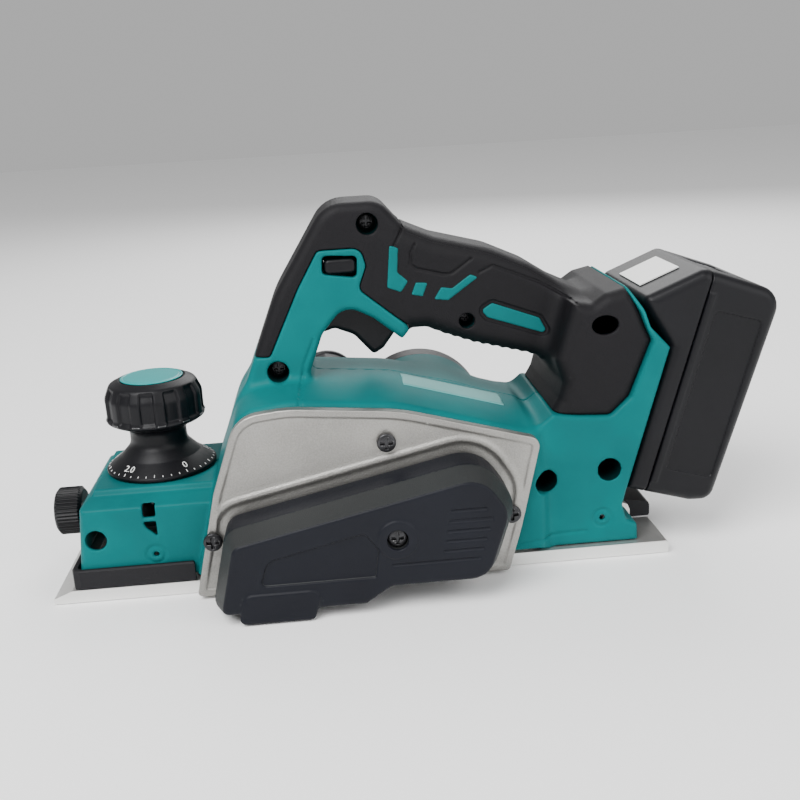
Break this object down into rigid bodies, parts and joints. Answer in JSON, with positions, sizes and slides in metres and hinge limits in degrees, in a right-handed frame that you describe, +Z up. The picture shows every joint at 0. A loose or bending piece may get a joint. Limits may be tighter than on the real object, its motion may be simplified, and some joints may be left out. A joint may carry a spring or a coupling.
{
  "type": "cordless electric hand planer",
  "caption": "Cordless hand planer with adjustable front sole, belt-driven cutter drum, closed top handle with trigger, depth knob and slide-on battery.",
  "frame": {"origin": "on the rear sole's flat underside on the centre plane, 165 mm behind the front sole's front edge", "axes": "+X towards the rear and the battery, +Y to the chip outlet side, +Z up from the sole; the belt cover is on the -Y side"},
  "size_m": [0.3455, 0.1556, 0.1728],
  "materials": {
    "teal_plastic": "satin moulded",
    "black_rubber": "soft matt",
    "black_plastic": "fine texture",
    "cast_aluminium": "cast and blasted",
    "milled_aluminium": "milled",
    "steel": "machined",
    "blackened_steel": "blackened",
    "copper": "varnished winding",
    "cell_wrap": "shrink wrap",
    "pale_label": "printed film"
  },
  "bodies": {
    "housing": {"housing_left": "teal_plastic", "housing_right": "teal_plastic", "front_grip_left": "black_rubber", "rear_grip_left": "black_rubber", "front_grip_right": "black_rubber", "rear_grip_right": "black_rubber", "screw_leg": "blackened_steel", "screw_handle_top": "blackened_steel", "screw_grip": "blackened_steel", "screw_rear_front": "blackened_steel", "screw_rear_low": "blackened_steel", "rear_base": "milled_aluminium", "foot_pin": "steel", "belt_bracket": "cast_aluminium", "belt_cover": "black_plastic", "bracket_screw_front": "blackened_steel", "bracket_screw_top": "blackened_steel", "bracket_screw_rear": "blackened_steel", "cover_screw": "blackened_steel", "bearing_plate": "cast_aluminium", "drum_bearing_near": "steel", "drum_bearing_far": "steel", "drive_belt": "black_rubber", "motor_can": "steel", "stator": "copper", "motor_bearing_near": "steel", "motor_bearing_far": "steel", "motor_cover": "black_plastic", "chip_nozzle": "black_plastic", "depth_spring": "steel", "switch_body": "black_plastic", "terminal_block": "black_plastic", "top_label": "pale_label"},
    "front_sole": {"front_base": "milled_aluminium", "base_shroud": "black_rubber"},
    "depth_control": {"depth_knob": "black_plastic", "knob_cap": "teal_plastic", "depth_spindle": "steel"},
    "cutter": {"cutter_drum": "milled_aluminium", "knife_1": "steel", "knife_2": "steel", "knife_clamp_1": "steel", "knife_clamp_2": "steel", "knife_bolt_1": "blackened_steel", "knife_bolt_2": "blackened_steel", "drum_pulley": "steel"},
    "motor_rotor": {"motor_shaft": "steel", "rotor": "blackened_steel", "cooling_fan": "black_plastic", "motor_pulley": "steel"},
    "squeeze_trigger": {"trigger": "black_plastic"},
    "lock_bar": {"lock_button": "black_plastic"},
    "guide_clamp": {"thumb_knob": "black_plastic", "thumb_stud": "steel"},
    "battery": {"battery_case_front": "black_plastic", "battery_case_rear": "black_plastic", "cell_pack": "cell_wrap", "battery_label": "pale_label"},
    "release_button": {"battery_button": "black_plastic"},
    "foot": {"parking_foot": "black_plastic"}
  },
  "joints": [
    {"name": "depth_knob_turn", "type": "hinge", "parent": "housing", "child": "depth_control", "pos_m": [-0.1154, 0, 0.05], "axis": [0, 0, -1], "range_deg": [0, 340]},
    {"name": "front_base_slide", "type": "slide", "parent": "housing", "child": "front_sole", "axis": [0, 0, 1], "range_m": [0, 0.002], "deforming": ["depth_spring"]},
    {"name": "drum_spin", "type": "hinge", "parent": "housing", "child": "cutter", "pos_m": [-0.057, 0, 0.025], "axis": [0, 1, 0], "continuous": true},
    {"name": "rotor_spin", "type": "hinge", "parent": "housing", "child": "motor_rotor", "pos_m": [0.018, 0, 0.046], "axis": [0, 1, 0], "continuous": true},
    {"name": "trigger_pull", "type": "hinge", "parent": "housing", "child": "squeeze_trigger", "pos_m": [-0.028, 0, 0.121], "axis": [0, -1, 0], "range_deg": [0, 9], "stiffness_Nm_per_rad": 0.8, "springref_deg": -5.73},
    {"name": "lock_push", "type": "slide", "parent": "housing", "child": "lock_bar", "axis": [0, 1, 0], "range_m": [-0.0025, 0.0025], "stiffness_N_per_m": 600},
    {"name": "guide_clamp_turn", "type": "hinge", "parent": "housing", "child": "guide_clamp", "pos_m": [-0.155, 0, 0.0298], "axis": [1, 0, 0], "continuous": true},
    {"name": "battery_slide", "type": "slide", "parent": "housing", "child": "battery", "axis": [0.279, 0, 0.9603], "range_m": [0, 0.095]},
    {"name": "battery_button_press", "type": "slide", "parent": "battery", "child": "release_button", "axis": [0.9603, 0, -0.279], "range_m": [0, 0.0035], "stiffness_N_per_m": 900, "springref_m": -0.001},
    {"name": "foot_swing", "type": "hinge", "parent": "housing", "child": "foot", "pos_m": [0.109, 0, 0.0125], "axis": [0, 1, 0], "range_deg": [0, 85]}
  ],
  "couplings": [
    {"joint": "depth_knob_turn", "follows": "front_base_slide", "rad_per_m": 2967},
    {"joint": "rotor_spin", "follows": "drum_spin", "ratio": 1.5556}
  ]
}
